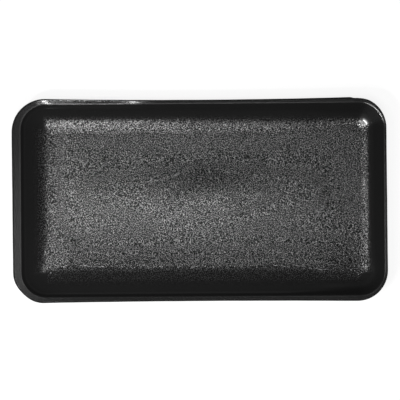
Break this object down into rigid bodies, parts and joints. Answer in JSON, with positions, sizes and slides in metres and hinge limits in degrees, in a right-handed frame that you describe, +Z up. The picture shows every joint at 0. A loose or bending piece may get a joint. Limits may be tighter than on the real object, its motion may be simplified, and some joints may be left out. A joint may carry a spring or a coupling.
{
  "type": "foam meat tray",
  "caption": "Shallow rectangular black foam tray with sloping walls, rounded corners and a narrow trimmed lip, for packing meat.",
  "frame": {"origin": "centre of the cut outline's box, on the surface that the tray stands on", "axes": "+X along the tray's length towards its narrower lip, +Y across it, +Z up out of the pan"},
  "size_m": [0.273, 0.1484, 0.0165],
  "materials": {
    "foam": "black extruded polystyrene foam with a satin, finely crinkled skin and a rougher cut edge"
  },
  "bodies": {
    "root": {"tray": "foam"}
  },
  "joints": []
}
